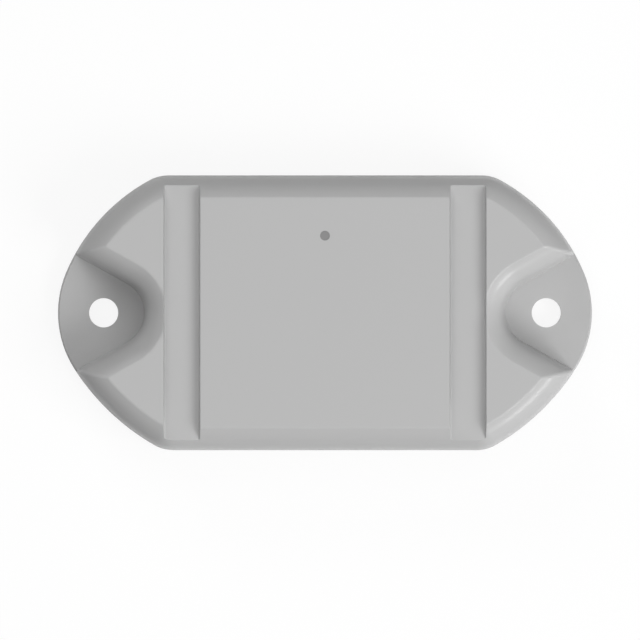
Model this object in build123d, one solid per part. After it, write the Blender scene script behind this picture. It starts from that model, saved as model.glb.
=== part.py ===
from build123d import *
import math
import os
from collections import namedtuple

# A small wireless beacon tag. A low dome with two strap grooves stands on a flat base plate, whose ends
# stick out as mounting ears. X runs along the tag, +Y is the rear edge nearest the light, and +Z is up.
# The origin is at the middle of the underside. All lengths are in millimetres and angles in degrees.

# Outline, seen from above
length = 82.0
width = 42.2
tip_radius = 16.0
rear_flank_radius = 29.0
rear_edge_half = 25.5
front_flank_radius = 35.8
front_edge_half = 24.8
corner_radius = 6.0

# Heights of the stack, from the underside up
base_thickness = 3.5
floor_thickness = 2.5
foam_thickness = 0.8
cell_height = 7.7
contact_space = 0.6
board_thickness = 1.2
board_headroom = 2.0
top_wall = 2.2

# Shoulder between the side wall and the flat top
shoulder_radius = 6.2
crease_angle = 30.0
crease_rounding = 0.6
wall_draft = 0.35

# Recess round each mounting ear
recess_apex = 27.75
recess_radius = 5.1
recess_flank_angle = 29.0
horn_rounding = 0.5
horn_edge_rise = 1.0

# Mounting holes in the ears
hole_spacing = 68.0
hole_diameter = 4.5

# Strap grooves across the top
groove_offset = 21.9
groove_width = 5.66
groove_depth = 1.65
groove_draft = 0.08
groove_corner = 0.35

# Walls of the cover
side_wall = 2.5
end_wall = 3.15
chamber_corner = 5.0
chamber_rounding = 1.2
chamber_wall = 2.0
horn_wall = 2.4
horn_top = 3.5

# Screws that hold the base plate to the cover
cover_screw_x = 29.8
cover_screw_inset = 10.2
cover_boss_diameter = 5.4
cover_pilot_diameter = 2.5
cover_screw_core = 2.4
cover_screw_hole = 3.4
cover_screw_head = 5.5
cover_screw_length = 10.0
cover_screw_sink = 0.25
cover_screw_spare = 1.0
boss_rib = 1.2
boss_rib_turn = 45.0
drive_width = 0.8
drive_span = 3.0
drive_depth = 1.1

# Plug rim of the base plate and its seal
plug_clearance = 0.15
rim_height = 2.7
rim_wall = 2.0
rim_lead = 0.4
seal_groove_z = 0.7
seal_groove_height = 1.3
seal_groove_depth = 0.9
seal_play = 0.05
seal_rounding = 0.3
seam_chamfer = 0.25
foot_rounding = 0.8

# Light pipe over the status light
light_inset = 9.3
light_diameter = 1.5
light_recess = 0.1
light_collar_diameter = 3.0
light_collar_height = 0.8

# Circuit board and its screws
board_clearance = 0.8
board_screw_x = 14.0
board_screw_inset = 2.6
board_boss_diameter = 4.0
board_pilot_diameter = 1.7
board_pilot_depth = 3.0
board_screw_core = 1.6
board_screw_hole = 2.2
board_screw_head = 3.8
board_screw_head_height = 1.3
board_head_rounding = 0.65
board_drive_span = 1.9
board_drive_depth = 0.65
board_screw_length = 4.0

# Coin cell, its holder and its contacts
cell_diameter = 24.5
cell_edge = 0.8
cell_cap_diameter = 20.6
cell_cap_height = 0.4
holder_clearance = 0.2
holder_wall = 1.4
holder_depth = 6.0
holder_bridge = 1.6
holder_lug_diameter = 4.0
holder_lug_angle = 45.0
holder_lug_rise = 1.0
peg_diameter = 1.5
peg_clearance = 0.05
peg_stand = 0.4
hook_places = [0.0, 135.0]
hook_turn = 24.0
hook_root = 1.0
hook_reach = 0.5
hook_lip = 0.4
hook_gap = 0.15
contact_sheet = 0.25
contact_window = 6.4
finger_gap = 12.0
positive_width = 5.0
positive_foot = 3.0
positive_reach = 6.4
positive_rest = 0.05
positive_knee = 3.0
positive_touch = 1.0
negative_length = 14.0
negative_width = 5.0
negative_foot = 2.2
negative_slot = 1.0
negative_touch = 2.0
negative_web = 0.5
foam_diameter = 20.0

# Service button under the board
button_x = -18.6
button_y = -8.0
button_side = 4.6
button_height = 2.0
button_floor = 0.3
button_ledge = 0.6
button_stem_diameter = 2.4
button_flange_diameter = 3.2
button_flange_height = 0.4
button_stand = 0.7
button_play = 0.1
button_rest = 0.05
button_travel = 0.25
dome_sheet = 0.08

# Chips and small parts, each as length, width and height
radio_size = (5.0, 5.0, 0.85)
main_crystal_size = (2.0, 1.6, 0.5)
slow_crystal_size = (3.2, 1.5, 0.8)
antenna_size = (1.6, 3.2, 1.1)
accelerometer_size = (2.0, 2.0, 0.95)
storage_size = (3.2, 6.0, 2.5)
passive_size = (1.0, 0.5, 0.5)
light_size = (1.6, 0.8, 0.6)
lens_length = 0.8
light_foot_height = 0.3
terminal_length = 0.25
terminal_stand = 0.03
pin_mark_diameter = 0.5
pin_mark_inset = 0.5
pin_mark_depth = 0.12
can_corner = 0.25
storage_bevel = 0.25

# Places of the small parts on the board, as x and y
radio_place = (17.8, 1.5)
main_crystal_place = (17.8, -3.6)
slow_crystal_place = (17.8, -6.6)
antenna_place = (21.8, 9.0)
accelerometer_place = (-19.8, 0.0)
storage_place = (-18.8, 7.0)
matching_places = [(18.6, 5.4), (20.0, 6.2), (21.8, 6.2)]
decoupling_places = [(21.6, -1.0), (21.6, 0.4), (21.6, 1.8), (21.6, 3.2), (16.0, 6.0), (14.9, -6.6)]

# Places of the resistors from the status light, as x and y
resistor_places = [(2.6, 0.0), (2.6, -1.2), (4.6, 0.0), (4.6, -1.2)]

# Fine allowance that carries a cutter past the face it opens
over = 1.0

# Levels worked out from the stack
cell_bottom = floor_thickness + foam_thickness
cell_top = cell_bottom + cell_height
board_bottom = cell_top + contact_space
board_top = board_bottom + board_thickness
ceiling = board_top + board_headroom
height = ceiling + top_wall
groove_floor = height - groove_depth
groove_ceiling = groove_floor - top_wall
rim_top = base_thickness + rim_height
horn_ceiling = height - horn_top

# Levels inside the service button
button_mouth = board_bottom - button_height
button_ledge_z = button_mouth + button_ledge
button_roof = board_bottom - button_floor
flange_low = button_ledge_z + button_rest
flange_top = flange_low + button_flange_height
dome_low = flange_top + button_travel + button_rest

# Shoulder profile worked out from its radius
shoulder_turn = math.radians(90.0 - crease_angle)
shoulder_start = height - shoulder_radius * math.sin(shoulder_turn)
shoulder_run = wall_draft + shoulder_radius * (1.0 - math.cos(shoulder_turn))

# Half sizes of the sealed chamber and the board
chamber_x = recess_apex - end_wall
chamber_y = width / 2 - side_wall
board_x = chamber_x - board_clearance
board_y = chamber_y - board_clearance
board_corner = chamber_corner - board_clearance

# Places that keep their distance from the long edges of the tag and of the board
cover_screw_y = width / 2 - cover_screw_inset
light_y = width / 2 - light_inset
board_screw_y = board_y - board_screw_inset

Bend = namedtuple("Bend", "x y radius start turn")


def quarter_bends(flank_radius, edge_half):
    """The three tangent arcs of one quarter outline, from the tip to the straight edge."""
    tip = Vector(length / 2 - tip_radius, 0)
    knee = Vector(edge_half, width / 2)
    line = knee - tip
    tip_reach = flank_radius - tip_radius
    along = (tip_reach**2 - flank_radius**2 + line.length**2) / (2 * line.length)
    across = math.sqrt(tip_reach**2 - along**2)
    toward = line.normalized()
    flank = tip + toward * along + Vector(-toward.Y, toward.X) * across
    corner_y = width / 2 - corner_radius
    corner_reach = flank_radius - corner_radius
    corner_x = flank.X + math.sqrt(corner_reach**2 - (corner_y - flank.Y) ** 2)
    tip_turn = math.degrees(math.atan2(tip.Y - flank.Y, tip.X - flank.X))
    flank_end = math.degrees(math.atan2(corner_y - flank.Y, corner_x - flank.X))
    return [
        Bend(tip.X, tip.Y, tip_radius, 0.0, tip_turn),
        Bend(flank.X, flank.Y, flank_radius, tip_turn, flank_end - tip_turn),
        Bend(corner_x, corner_y, corner_radius, flank_end, 90.0 - flank_end),
    ]


rear_bends = quarter_bends(rear_flank_radius, rear_edge_half)
front_bends = quarter_bends(front_flank_radius, front_edge_half)


def half_outline(bends, grow):
    """The edges of the outline on the +Y side, moved outward by grow."""
    right = [CenterArc((b.x, b.y), b.radius + grow, b.start, b.turn) for b in bends]
    left = [mirror(edge, about=Plane.YZ) for edge in right]
    straight_end = bends[-1].x
    edge_y = width / 2 + grow
    return right + left + [Line((-straight_end, edge_y), (straight_end, edge_y))]


def outline(grow=0.0):
    """The outline of the tag as a face, moved outward by grow."""
    rear = half_outline(rear_bends, grow)
    front = [mirror(edge, about=Plane.XZ) for edge in half_outline(front_bends, grow)]
    return make_face(rear + front)


def recess(grow=0.0):
    """The plan of the right-hand recess, open past the tip, moved into the cover by grow."""
    centre = Vector(recess_apex + recess_radius, 0)
    radius = recess_radius + grow
    start = 90.0 + recess_flank_angle
    arc = CenterArc(centre, radius, start, 180.0 - 2 * recess_flank_angle)
    far_x = length / 2 + over
    slope = math.tan(math.radians(recess_flank_angle))
    far_y = (arc @ 0).Y + (far_x - (arc @ 0).X) * slope
    upper = Line(arc @ 0, (far_x, far_y))
    lower = Line(arc @ 1, (far_x, -far_y))
    return make_face([arc, upper, lower, Line((far_x, far_y), (far_x, -far_y))])


def chamber_plan(grow=0.0):
    """The plan of the sealed chamber, moved outward by grow."""
    full_x = 2 * (chamber_x + grow)
    full_y = 2 * (chamber_y + grow)
    return RectangleRounded(full_x, full_y, chamber_corner + grow)


def shoulder_section(foot, side):
    """What the shoulder takes away, drawn with X outward and Y up. The wall foot is at X = foot."""

    def across(depth):
        return foot + side * depth

    lean = wall_draft / (shoulder_start - base_thickness)
    low = base_thickness - over
    middle_run = wall_draft + shoulder_radius * (1.0 - math.cos(shoulder_turn / 2))
    middle_z = shoulder_start + shoulder_radius * math.sin(shoulder_turn / 2)
    wall = Line((across(-lean * over), low), (across(wall_draft), shoulder_start))
    crease = (across(shoulder_run), height)
    curve = ThreePointArc(wall @ 1, (across(middle_run), middle_z), crease)
    back = Polyline(
        crease,
        (across(shoulder_run), height + over),
        (across(-2 * over), height + over),
        (across(-2 * over), low),
        wall @ 0,
    )
    return make_face([wall, curve, back])


def bend_cutter(bend, side):
    """The shoulder carried round one arc of the outline or the recess."""
    section = Plane.XZ * shoulder_section(bend.radius, side)
    turned = revolve(section, Axis.Z, bend.turn)
    return Pos(bend.x, bend.y) * Rot(0, 0, bend.start) * turned


def edge_cutters(bends):
    """The shoulder along the +Y half of the outline."""
    right = [bend_cutter(bend, -1) for bend in bends]
    left = [mirror(cutter, about=Plane.YZ) for cutter in right]
    section = Plane.YZ * shoulder_section(width / 2, -1)
    return right + left + [extrude(section, bends[-1].x, both=True)]


def recess_cutters():
    """Everything that the right-hand recess takes out of the cover."""
    start = 90.0 + recess_flank_angle
    centre_x = recess_apex + recess_radius
    apex = Bend(centre_x, 0.0, recess_radius, start, 180.0 - 2 * recess_flank_angle)
    section = Plane.YZ * shoulder_section(recess_radius, 1)
    straight = extrude(section, length / 2, dir=(1, 0, 0))
    upper = Pos(centre_x, 0) * Rot(0, 0, recess_flank_angle) * straight
    lower = mirror(upper, about=Plane.XZ)
    middle = extrude(Pos(0, 0, base_thickness - over) * recess(), height)
    return [bend_cutter(apex, 1), upper, lower, middle]


def is_horn_edge(edge):
    """True for the upright edges and the mitres at the horn tips, which lie past the mounting holes."""
    rise = abs((edge @ 1).Z - (edge @ 0).Z)
    return rise > horn_edge_rise and abs((edge @ 0.5).X) > hole_spacing / 2


def strap_groove():
    """The groove for a strap or cable tie, square across the top at the right."""
    half = groove_width / 2
    floor_half = half - groove_draft
    top = height + over
    section = Polygon(
        (-half, top), (-half, height), (-floor_half, groove_floor),
        (floor_half, groove_floor), (half, height), (half, top),
        align=None,
    )
    corners = section.vertices().sort_by(Axis.Y)[:2]
    section = fillet(corners, groove_corner)
    return Pos(groove_offset, 0) * extrude(Plane.XZ * section, width, both=True)


def both_ends(shape):
    """A shape and its mirror image at the other end of the tag."""
    return [shape, mirror(shape, about=Plane.YZ)]


def four_corners(x, y):
    """The four points at equal distances from both centre lines."""
    return [(sx * x, sy * y) for sx in (-1, 1) for sy in (-1, 1)]


def post(radius, low, high):
    """An upright round bar between two levels."""
    return Pos(0, 0, low) * extrude(Circle(radius), high - low)


def chamber_hollow():
    """The sealed chamber, lower under the grooves so that the top wall stays even."""
    bottom = base_thickness - over
    hollow = extrude(Pos(0, 0, bottom) * chamber_plan(), ceiling - bottom)
    step = groove_offset - groove_width / 2 - top_wall
    block = Box(length, width, height, align=(Align.MIN, Align.CENTER, Align.MIN))
    hollow -= both_ends(Pos(step, 0, groove_ceiling) * block)
    long_edges = hollow.edges().filter_by(Axis.X).group_by(Axis.Z)[-1]
    return fillet(long_edges, chamber_rounding)


def horn_pockets():
    """The cored hollows in the four horns, each round a ribbed screw boss."""
    plan = outline(-horn_wall) - both_ends(recess(horn_wall)) - chamber_plan(chamber_wall)
    hollow = extrude(Pos(0, 0, base_thickness - over) * plan, horn_ceiling - base_thickness + over)
    kept = []
    for x, y in four_corners(cover_screw_x, cover_screw_y):
        kept.append(Pos(x, y) * post(cover_boss_diameter / 2, 0, height))
        tilt = math.copysign(boss_rib_turn, x * y)
        rib = Pos(0, 0, height / 2) * Box(length, boss_rib, height)
        kept.append(Pos(x, y) * Rot(0, 0, tilt) * rib & near(x, y))
        kept.append(Pos(x, y) * Rot(0, 0, tilt + 90.0) * rib & near(x, y))
    return hollow - kept


def near(x, y):
    """The quarter of space round one screw boss, so that its ribs stay in its own horn."""
    return Pos(x, y, height / 2) * Box(2 * cover_screw_y, 2 * cover_screw_y, 2 * height)


def top_cover():
    """The dome: shouldered outline, notched ends, grooves, chamber, horns and bosses."""
    blank = extrude(Pos(0, 0, base_thickness) * outline(over), height - base_thickness)
    front_cutters = [mirror(cutter, about=Plane.XZ) for cutter in edge_cutters(front_bends)]
    body = blank - edge_cutters(rear_bends) - front_cutters
    for cutter in recess_cutters():
        body -= both_ends(cutter)
    body = fillet(body.edges().filter_by(is_horn_edge), horn_rounding)
    crease = body.faces().sort_by(Axis.Z)[-1].outer_wire().edges()
    body = fillet(crease, crease_rounding)
    body -= both_ends(strap_groove())
    body -= chamber_hollow()
    body -= horn_pockets()
    for x, y in four_corners(cover_screw_x, cover_screw_y):
        pilot_top = cover_screw_sink + cover_screw_length + cover_screw_spare
        body -= Pos(x, y) * post(cover_pilot_diameter / 2, base_thickness - over, pilot_top)
    for x, y in four_corners(board_screw_x, board_screw_y):
        body += Pos(x, y) * post(board_boss_diameter / 2, board_top, ceiling)
        body -= Pos(x, y) * post(board_pilot_diameter / 2, board_top, board_top + board_pilot_depth)
    body -= Pos(0, light_y) * post(light_diameter / 2, ceiling, height + over)
    return body


def screw_cone(wide, level):
    """A cone of 45 degrees, narrowing upward from a wide circle at the given level."""
    return Pos(0, 0, level + wide / 2) * Cone(wide, 0.0, wide)


def base_plate():
    """The floor with both ears, the plug rim with its seal groove, and all the holes."""
    plate = extrude(outline(), base_thickness)
    plate = fillet(plate.faces().sort_by(Axis.Z)[0].outer_wire().edges(), foot_rounding)
    plate = chamfer(plate.faces().sort_by(Axis.Z)[-1].outer_wire().edges(), seam_chamfer)
    rim = extrude(Pos(0, 0, base_thickness) * chamber_plan(-plug_clearance), rim_height)
    rim = chamfer(rim.faces().sort_by(Axis.Z)[-1].edges(), rim_lead)
    plate += rim
    inside = chamber_plan(-plug_clearance - rim_wall)
    plate -= extrude(Pos(0, 0, floor_thickness) * inside, rim_top)
    ring = chamber_plan() - chamber_plan(-plug_clearance - seal_groove_depth)
    plate -= extrude(Pos(0, 0, base_thickness + seal_groove_z) * ring, seal_groove_height)
    for x in (-hole_spacing / 2, hole_spacing / 2):
        plate -= Pos(x, 0) * post(hole_diameter / 2, -over, base_thickness + over)
    for x, y in four_corners(cover_screw_x, cover_screw_y):
        plate -= Pos(x, y) * post(cover_screw_hole / 2, -over, base_thickness + over)
        plate -= Pos(x, y) * screw_cone(cover_screw_head / 2 + cover_screw_sink + over, -over)
    return plate


def perimeter_seal():
    """The rubber ring in the rim groove, pressed against the chamber wall."""
    ring = chamber_plan() - chamber_plan(-plug_clearance - seal_groove_depth)
    low = base_thickness + seal_groove_z + seal_play
    seal = extrude(Pos(0, 0, low) * ring, seal_groove_height - 2 * seal_play)
    ends = seal.faces().sort_by(Axis.Z)[0].edges() + seal.faces().sort_by(Axis.Z)[-1].edges()
    return fillet(ends, seal_rounding)


def light_pipe():
    """The clear rod in the top, held by its collar under the ceiling."""
    stem = post(light_diameter / 2, ceiling, height - light_recess)
    collar = post(light_collar_diameter / 2, ceiling - light_collar_height, ceiling)
    return Pos(0, light_y) * (stem + collar)


def cross_slot(span, depth, level):
    """The cross-shaped driver recess, sunk upward from the given level."""
    bar = Pos(0, 0, level + depth / 2) * Box(span, drive_width, depth)
    return bar + Rot(0, 0, 90) * bar


def cover_screws():
    """Four countersunk screws, sunk just below the underside."""
    head_radius = cover_screw_head / 2
    head = screw_cone(head_radius, cover_screw_sink)
    shank = post(cover_screw_core / 2, cover_screw_sink, cover_screw_sink + cover_screw_length)
    screw = head + shank - cross_slot(drive_span, drive_depth, cover_screw_sink)
    return [Pos(x, y) * screw for x, y in four_corners(cover_screw_x, cover_screw_y)]


def circuit_board():
    """The board, with its screw holes and the two holes for the holder's pegs."""
    plan = RectangleRounded(2 * board_x, 2 * board_y, board_corner)
    board = extrude(Pos(0, 0, board_bottom) * plan, board_thickness)
    for x, y in four_corners(board_screw_x, board_screw_y):
        board -= Pos(x, y) * post(board_screw_hole / 2, 0, height)
    for place in peg_places():
        board -= place * post(peg_diameter / 2 + peg_clearance, 0, height)
    return board


def board_screws():
    """Four pan-head screws that hold the board up against the cover's bosses."""
    head = post(board_screw_head / 2, board_bottom - board_screw_head_height, board_bottom)
    head = fillet(head.faces().sort_by(Axis.Z)[0].edges(), board_head_rounding)
    shank = post(board_screw_core / 2, board_bottom, board_bottom + board_screw_length)
    slot = cross_slot(board_drive_span, board_drive_depth, board_bottom - board_screw_head_height)
    screw = head + shank - slot
    return [Pos(x, y) * screw for x, y in four_corners(board_screw_x, board_screw_y)]


def battery_cell():
    """The coin cell, its can below and its smaller cap on top."""
    can = post(cell_diameter / 2, cell_bottom, cell_top - cell_cap_height)
    can = fillet(can.edges().filter_by(GeomType.CIRCLE), cell_edge)
    return can + post(cell_cap_diameter / 2, cell_bottom + cell_edge, cell_top)


def holder_radius():
    """The radius of the holder's outer wall."""
    return cell_diameter / 2 + holder_clearance + holder_wall


def peg_places():
    """Where the two pegs of the holder pass through the board."""
    reach = holder_radius() + peg_diameter / 2
    return [Rot(0, 0, holder_lug_angle + turn) * Pos(reach, 0) for turn in (0, 180)]


def holder_hook():
    """One hook that catches the lower edge of the cell, with its lead-in slope."""
    inner = cell_diameter / 2 + holder_clearance
    outer = holder_radius()
    lip_top = cell_bottom - hook_gap
    lip_low = lip_top - hook_lip
    tip = cell_diameter / 2 - hook_reach
    ring_low = board_bottom - holder_depth
    section = Polygon(
        (inner, ring_low + hook_root), (outer, ring_low + hook_root),
        (outer, lip_low), (inner, lip_low), (tip, lip_top - hook_lip / 2), (tip, lip_top),
        (inner, lip_top),
        align=None,
    )
    return Rot(0, 0, -hook_turn / 2) * revolve(Plane.XZ * section, Axis.Z, hook_turn)


def battery_holder():
    """The open ring round the cell, pegged to the board, with two hooks below."""
    low = board_bottom - holder_depth
    outer = post(holder_radius(), low, board_bottom)
    pegs = []
    for place in peg_places():
        outer += place * post(holder_lug_diameter / 2, low + holder_lug_rise, board_bottom)
        pegs.append(place * post(peg_diameter / 2, board_bottom, board_top + peg_stand))
    ring = outer - post(cell_diameter / 2 + holder_clearance, low - over, board_bottom + over)
    middle_z = (low + board_bottom) / 2
    reach = 2 * holder_radius()
    window = Pos(-reach / 2, 0, middle_z) * Box(reach, contact_window, 2 * holder_depth)
    finger = Box(finger_gap, reach, 2 * holder_depth)
    finger = Pos(0, -reach / 2, board_bottom - holder_bridge - holder_depth) * finger
    ring = ring - window - finger
    hooks = [Rot(0, 0, turn) * holder_hook() for turn in hook_places]
    return ring + hooks + pegs


def sheet_strip(points, strip_width):
    """A bent strip of contact sheet, drawn by its points in X and Z and centred on Y."""
    line = Polyline(*points)
    face = offset(line, contact_sheet / 2, kind=Kind.INTERSECTION, side=Side.BOTH)
    return extrude(Plane.XZ * make_face(face.edges()), strip_width / 2, both=True)


def battery_positive_contact():
    """The spring that stands on the board and presses on the side of the can."""
    top = board_bottom - contact_sheet / 2
    touch = -cell_diameter / 2 - positive_rest - contact_sheet / 2
    back = -holder_radius() + contact_sheet
    low = board_bottom - positive_reach
    points = [
        (back - positive_foot, top), (back, top), (back, low + positive_knee),
        (touch, low + positive_touch), (back, low),
    ]
    return sheet_strip(points, positive_width)


def battery_negative_contact():
    """The arched strip between the board and the cap, slit into two fingers."""
    top = board_bottom - contact_sheet / 2
    low = cell_top + contact_sheet / 2
    end = negative_length / 2
    knee = end - negative_foot
    rest = negative_touch / 2
    points = [(-end, top), (-knee, top), (-rest, low), (rest, low), (knee, top), (end, top)]
    strip = sheet_strip(points, negative_width)
    slot_z = (cell_top + board_bottom) / 2
    return strip - Pos(0, 0, slot_z) * Box(2 * (knee - negative_web), negative_slot, 2 * contact_space)


def battery_foam_pad():
    """The pad between the base plate and the cell."""
    return post(foam_diameter / 2, floor_thickness, cell_bottom)


def under_board(size, place):
    """A plain block against the lower face of the board."""
    block = Box(*size)
    return Pos(*place, board_bottom - size[2] / 2) * block


def chip(size, place):
    """A moulded chip under the board, with the round mark of its first pin."""
    body = under_board(size, place)
    mark_x = place[0] - size[0] / 2 + pin_mark_inset
    mark_y = place[1] + size[1] / 2 - pin_mark_inset
    low = board_bottom - size[2]
    return body - Pos(mark_x, mark_y) * post(pin_mark_diameter / 2, low - over, low + pin_mark_depth)


def metal_can(size, place):
    """A crystal in its rounded metal can, under the board."""
    body = under_board(size, place)
    return fillet(body.edges().filter_by(Axis.Z), can_corner)


def passive(place, level, side):
    """A ceramic or film part with its two end terminals, above (1) or below (-1) a board face."""
    long, wide, tall = passive_size
    body = Box(long - 2 * terminal_stand, wide, tall - terminal_stand)
    ends = Box(terminal_length, wide + 2 * terminal_stand, tall)
    reach = (long - terminal_length) / 2
    part = body + Pos(reach, 0) * ends + Pos(-reach, 0) * ends
    return Pos(*place, level + side * tall / 2) * part


def chip_antenna():
    """The ceramic antenna with its two plated ends, at the end of the board away from the cell."""
    body = under_board(antenna_size, antenna_place)
    wide, long, tall = antenna_size
    cap = (wide + 2 * terminal_stand, terminal_length, tall + terminal_stand)
    reach = (long - terminal_length) / 2
    x, y = antenna_place
    return body + under_board(cap, (x, y + reach)) + under_board(cap, (x, y - reach))


def storage_capacitor():
    """The moulded capacitor that covers the radio's current peaks."""
    body = under_board(storage_size, storage_place)
    return chamfer(body.faces().sort_by(Axis.Z)[0].edges(), storage_bevel)


def status_led():
    """The light on top of the board, under the light pipe."""
    long, wide, tall = light_size
    foot = Pos(0, light_y, board_top + light_foot_height / 2) * Box(long, wide, light_foot_height)
    lens = Pos(0, light_y, board_top + tall / 2) * Box(lens_length, wide, tall)
    return foot + lens


def service_button_body():
    """The square housing of the button, with a stepped bore for the plunger."""
    middle = Pos(0, 0, (button_mouth + board_bottom) / 2)
    body = middle * Box(button_side, button_side, button_height)
    stem_bore = button_stem_diameter / 2 + button_play
    flange_bore = button_flange_diameter / 2 + button_play
    body -= post(stem_bore, button_mouth - over, button_ledge_z + button_play)
    body -= post(flange_bore, button_ledge_z, button_roof)
    return Pos(button_x, button_y) * body


def service_button_plunger():
    """The stem that is pressed, held in by its flange."""
    stem = post(button_stem_diameter / 2, button_mouth - button_stand, flange_low)
    flange = post(button_flange_diameter / 2, flange_low, flange_top)
    return Pos(button_x, button_y) * (stem + flange)


def service_button_dome():
    """The snap dome over the plunger, bowed down towards it."""
    rim = button_flange_diameter / 2
    rise = button_roof - dome_low - dome_sheet
    curve = (rim**2 + rise**2) / (2 * rise)
    ball = Pos(0, 0, button_roof - rise + curve) * (Sphere(curve + dome_sheet) - Sphere(curve))
    return Pos(button_x, button_y) * (ball & post(rim, button_ledge_z, button_roof))


def decoupling_capacitors():
    """The small ceramic capacitors round the radio chip."""
    return [passive(place, board_bottom, -1) for place in decoupling_places]


def antenna_matching_parts():
    """The three parts between the radio chip and its antenna."""
    return [passive(place, board_bottom, -1) for place in matching_places]


def resistors():
    """The resistors beside the light, on top of the board."""
    return [passive((x, light_y + y), board_top, 1) for x, y in resistor_places]


parts = {
    "top_cover": top_cover(),
    "base_plate": base_plate(),
    "perimeter_seal": perimeter_seal(),
    "light_pipe": light_pipe(),
    "cover_screws": cover_screws(),
    "circuit_board": circuit_board(),
    "board_screws": board_screws(),
    "battery_cell": battery_cell(),
    "battery_holder": battery_holder(),
    "battery_positive_contact": battery_positive_contact(),
    "battery_negative_contact": battery_negative_contact(),
    "battery_foam_pad": battery_foam_pad(),
    "radio_chip": chip(radio_size, radio_place),
    "main_crystal": metal_can(main_crystal_size, main_crystal_place),
    "slow_crystal": metal_can(slow_crystal_size, slow_crystal_place),
    "chip_antenna": chip_antenna(),
    "antenna_matching_parts": antenna_matching_parts(),
    "decoupling_capacitors": decoupling_capacitors(),
    "storage_capacitor": storage_capacitor(),
    "resistors": resistors(),
    "status_led": status_led(),
    "accelerometer": chip(accelerometer_size, accelerometer_place),
    "service_button_body": service_button_body(),
    "service_button_dome": service_button_dome(),
    "service_button_plunger": service_button_plunger(),
}

os.makedirs("parts", exist_ok=True)
for name, shape in parts.items():
    solids = shape if isinstance(shape, list) else shape.solids()
    export_step(Compound(children=list(solids)), os.path.join("parts", name + ".step"))
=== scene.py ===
"""Dresses a small wireless beacon tag: its moulded housing, its sealed inside and a plain studio round it."""

import math

import bmesh
import bpy
from bpy.props import FloatProperty, FloatVectorProperty, PointerProperty
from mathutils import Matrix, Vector


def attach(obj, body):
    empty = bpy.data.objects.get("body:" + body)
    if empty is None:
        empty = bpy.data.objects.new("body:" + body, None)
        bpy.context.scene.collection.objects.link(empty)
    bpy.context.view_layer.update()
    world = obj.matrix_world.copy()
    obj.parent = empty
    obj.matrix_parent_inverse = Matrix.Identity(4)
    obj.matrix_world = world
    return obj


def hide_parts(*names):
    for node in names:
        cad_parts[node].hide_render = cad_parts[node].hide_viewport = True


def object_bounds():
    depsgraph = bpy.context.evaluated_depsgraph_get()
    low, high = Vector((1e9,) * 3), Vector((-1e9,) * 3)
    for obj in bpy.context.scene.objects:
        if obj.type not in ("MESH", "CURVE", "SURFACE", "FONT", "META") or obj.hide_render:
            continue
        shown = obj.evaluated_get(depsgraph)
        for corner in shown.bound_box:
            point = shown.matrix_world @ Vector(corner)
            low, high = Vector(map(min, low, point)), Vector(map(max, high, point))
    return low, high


bl_info = {
    "name": "Bluetooth Beacon Tag",
    "version": (1, 0, 0),
    "blender": (4, 5, 0),
    "location": "View3D > Sidebar > Beacon Tag",
    "description": "Finishes the pieces of a small wireless beacon tag and sets up its studio",
    "category": "Object",
}

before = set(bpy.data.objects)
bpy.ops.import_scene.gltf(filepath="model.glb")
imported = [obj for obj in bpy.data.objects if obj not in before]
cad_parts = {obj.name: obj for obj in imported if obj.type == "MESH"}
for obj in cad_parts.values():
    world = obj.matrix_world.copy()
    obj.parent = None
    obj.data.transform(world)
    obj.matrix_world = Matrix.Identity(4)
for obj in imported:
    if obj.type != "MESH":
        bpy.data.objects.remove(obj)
cad_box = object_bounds()

MM = 0.001

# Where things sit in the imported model, in millimetres
BOARD_UNDER, BOARD_TOP = 11.6, 12.8
COVER_SCREWS, BOARD_SCREWS = (29.8, 10.9), (14.0, 15.2)
RADIO_CHIP, ACCELEROMETER, BUTTON = (17.8, 1.5), (-19.8, 0.0), (-18.6, -8.0)
MAIN_CRYSTAL, SLOW_CRYSTAL, ANTENNA = (17.8, -3.6), (17.8, -6.6), (21.8, 9.0)
CAPACITORS = [(21.6, -1.0), (21.6, 0.4), (21.6, 1.8), (21.6, 3.2), (16.0, 6.0), (14.9, -6.6)]
MATCHING_PARTS = [(18.6, 5.4), (20.0, 6.2), (21.8, 6.2)]
RESISTORS = [(2.6, 11.8), (2.6, 10.6), (4.6, 11.8), (4.6, 10.6)]
STATUS_LED = (0.0, 11.8)


# Values that a user would change


def colour(name, description, default):
    """A colour setting."""
    return FloatVectorProperty(
        name=name, description=description, default=default, subtype="COLOR", size=3, min=0.0, max=1.0
    )


def size(name, description, default):
    """A length setting, in metres."""
    return FloatProperty(name=name, description=description, default=default, unit="LENGTH", precision=5)


def share(name, description, default):
    """A setting between 0 and 1."""
    return FloatProperty(
        name=name, description=description, default=default, min=0.0, max=1.0, subtype="FACTOR"
    )


def power(name, description, default):
    """The power of a lamp, in watts."""
    return FloatProperty(name=name, description=description, default=default, unit="POWER", min=0.0)


class HousingSettings(bpy.types.PropertyGroup):
    """The moulded plastic of the cover and the base plate."""

    plastic: colour("Plastic", "Colour of the moulded housing", (0.475, 0.475, 0.475))
    roughness: share("Roughness", "Roughness of the moulded skin", 0.5)
    specular: share("Specular", "How strongly the matt skin mirrors its surroundings", 0.14)
    sheen: share("Sheen", "Strength of the faint sheen that lies over the matt skin", 0.32)
    sheen_roughness: share("Sheen Roughness", "Roughness of that sheen", 0.2)
    grain_size: size("Grain Size", "Width of one grain of the moulded skin", 0.12 * MM)
    grain_depth: size("Grain Depth", "Depth of the moulded grain", 0.002 * MM)


class LightPipeSettings(bpy.types.PropertyGroup):
    """The smoked light pipe in the top."""

    smoke: colour("Smoke", "Colour of the light pipe", (0.2, 0.2, 0.2))
    roughness: share("Roughness", "Roughness of its end", 0.3)


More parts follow.
